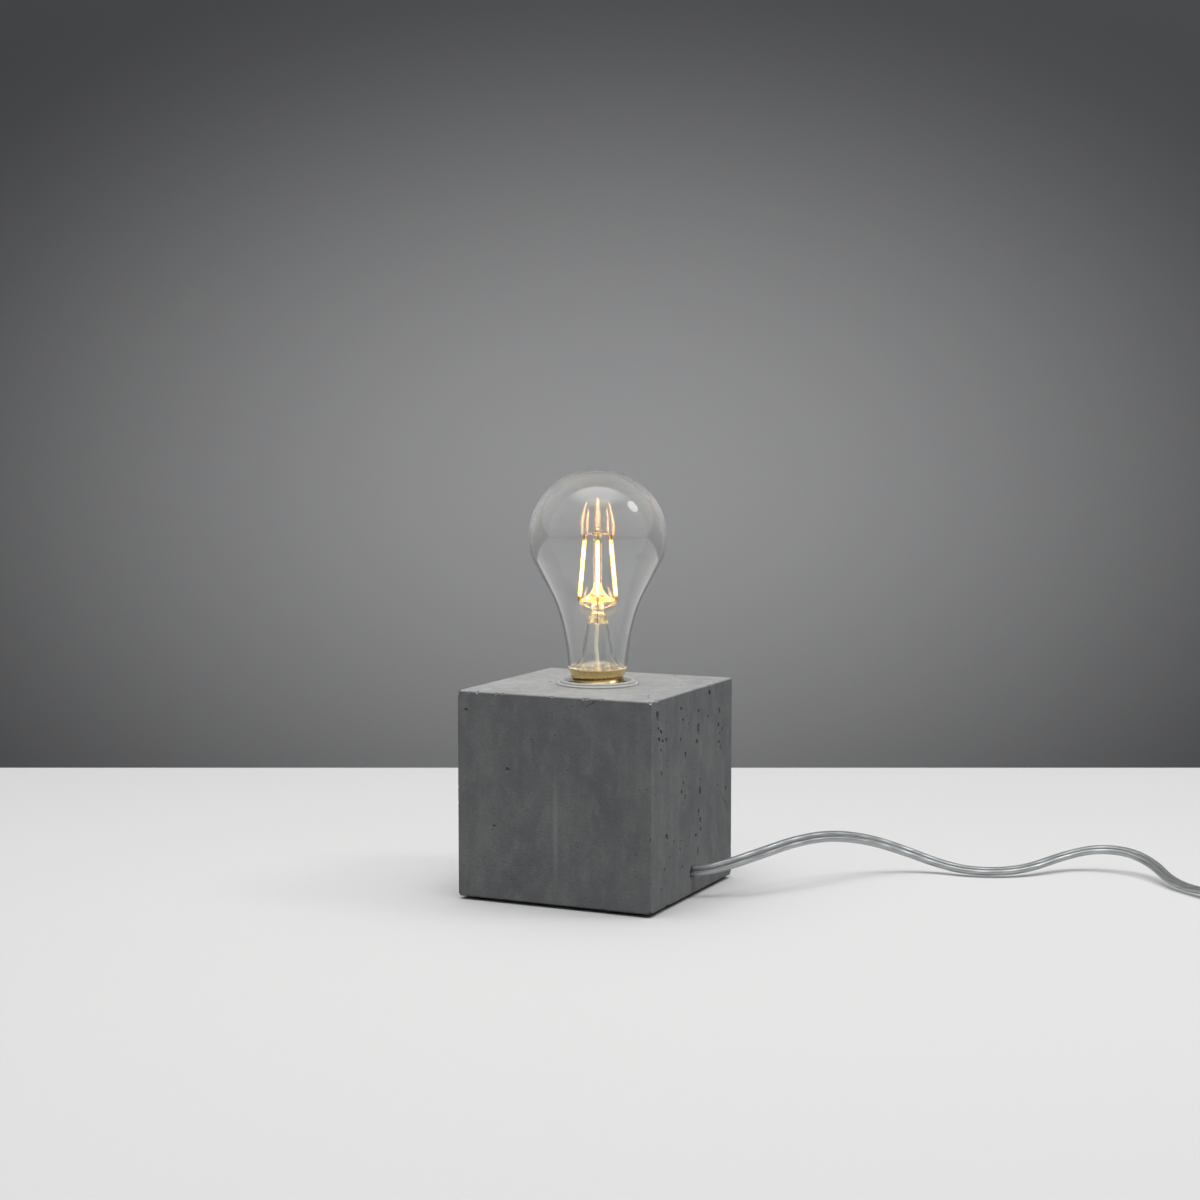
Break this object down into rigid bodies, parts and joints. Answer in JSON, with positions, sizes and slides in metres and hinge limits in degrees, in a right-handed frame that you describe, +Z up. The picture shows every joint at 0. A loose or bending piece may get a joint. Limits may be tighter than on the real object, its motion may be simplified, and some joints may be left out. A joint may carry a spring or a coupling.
{
  "type": "table lamp",
  "caption": "Cast concrete cube table lamp with a recessed screw lampholder, bare clear filament bulb, flat flex cord, in-line rocker switch and plug.",
  "frame": {"origin": "centre of the base, on the surface that the lamp stands on", "axes": "+Z up along the bulb's axis, +X out of the face with the cord hole, -Y out of the broad front face"},
  "size_m": [0.4952, 0.2211, 0.2039],
  "materials": {
    "concrete": "cast grey concrete, pitted, matte",
    "foot_rubber": "matte dark rubber pads",
    "cover_plastic": "moulded black polypropylene",
    "zinc_steel": "bright zinc-plated steel",
    "nylon": "natural nylon",
    "holder_plastic": "moulded white thermoset plastic",
    "steatite": "unglazed white steatite",
    "brass": "rolled brass sheet",
    "bulb_glass": "clear blown glass",
    "cap_brass": "bright rolled brass",
    "black_glass": "black vitrified insulator",
    "solder": "tinned contact",
    "nickel_wire": "bright nickel wire",
    "lead_sleeve": "cream silicone sleeve",
    "circuit_board": "green glass-epoxy board",
    "capacitor_sleeve": "shrunk brown sleeve",
    "ferrite": "sintered dark ferrite",
    "filament_glow": "phosphor-coated filament, lit warm white",
    "cord_pvc": "clear PVC over tinned copper strands, silvery",
    "lead_pvc": "clear PVC over tinned copper strands",
    "tie_fabric": "woven black hook-and-loop strap",
    "switch_plastic": "moulded white plastic",
    "rocker_plastic": "moulded white plastic, polished",
    "plug_pvc": "moulded white PVC",
    "pin_nickel": "nickel-plated brass"
  },
  "bodies": {
    "lamp": {"concrete_block": "concrete", "feet": "foot_rubber", "base_cover": "cover_plastic", "cord_saddle": "cover_plastic", "cover_screws": "zinc_steel", "saddle_screws": "zinc_steel", "threaded_nipple": "zinc_steel", "nipple_washer": "zinc_steel", "nipple_nut": "zinc_steel", "switch_screws": "zinc_steel", "terminal_screws": "zinc_steel", "cover_anchors": "nylon", "lampholder_shell": "holder_plastic", "lampholder_cap": "holder_plastic", "contact_block": "steatite", "screw_shell": "brass", "centre_contact": "brass", "contact_rivets": "brass", "terminal_posts": "brass", "switch_terminals": "brass", "switch_spring": "brass", "cord_inner": "cord_pvc", "cord_free": "cord_pvc", "cord_link": "cord_pvc", "cord_coil": "cord_pvc", "cord_tail": "cord_pvc", "live_lead": "lead_pvc", "neutral_lead": "lead_pvc", "coil_tie": "tie_fabric", "switch_lower": "switch_plastic", "switch_upper": "switch_plastic", "plug_boot": "plug_pvc", "plug_body": "plug_pvc", "plug_pins": "pin_nickel"},
    "bulb_lift": {"bulb_contact": "solder"},
    "bulb": {"bulb_glass": "bulb_glass", "bulb_cap": "cap_brass", "cap_insulator": "black_glass", "bulb_stem": "bulb_glass", "upper_wires": "nickel_wire", "lower_wires": "nickel_wire", "bulb_leads": "lead_sleeve", "driver_board": "circuit_board", "driver_capacitor": "capacitor_sleeve", "driver_choke": "ferrite", "filament_1": "filament_glow", "filament_2": "filament_glow", "filament_3": "filament_glow", "filament_4": "filament_glow", "filament_5": "filament_glow", "filament_6": "filament_glow"},
    "rocker": {"switch_rocker": "rocker_plastic"}
  },
  "joints": [
    {"name": "bulb_lift", "type": "slide", "parent": "lamp", "child": "bulb_lift", "axis": [0, 0, 1], "range_m": [0, 0.01362]},
    {"name": "bulb_turn", "type": "hinge", "parent": "bulb_lift", "child": "bulb", "pos_m": [0, 0, 0.0945], "axis": [0, 0, 1], "range_deg": [0, 1350]},
    {"name": "rocker_tip", "type": "hinge", "parent": "lamp", "child": "rocker", "pos_m": [0.31975, 0.06007, 0.0115], "axis": [0.6428, 0.766, 0], "range_deg": [-14, 0]}
  ],
  "couplings": [
    {"joint": "bulb_lift", "follows": "bulb_turn", "m_per_rad": 0.00057757}
  ]
}
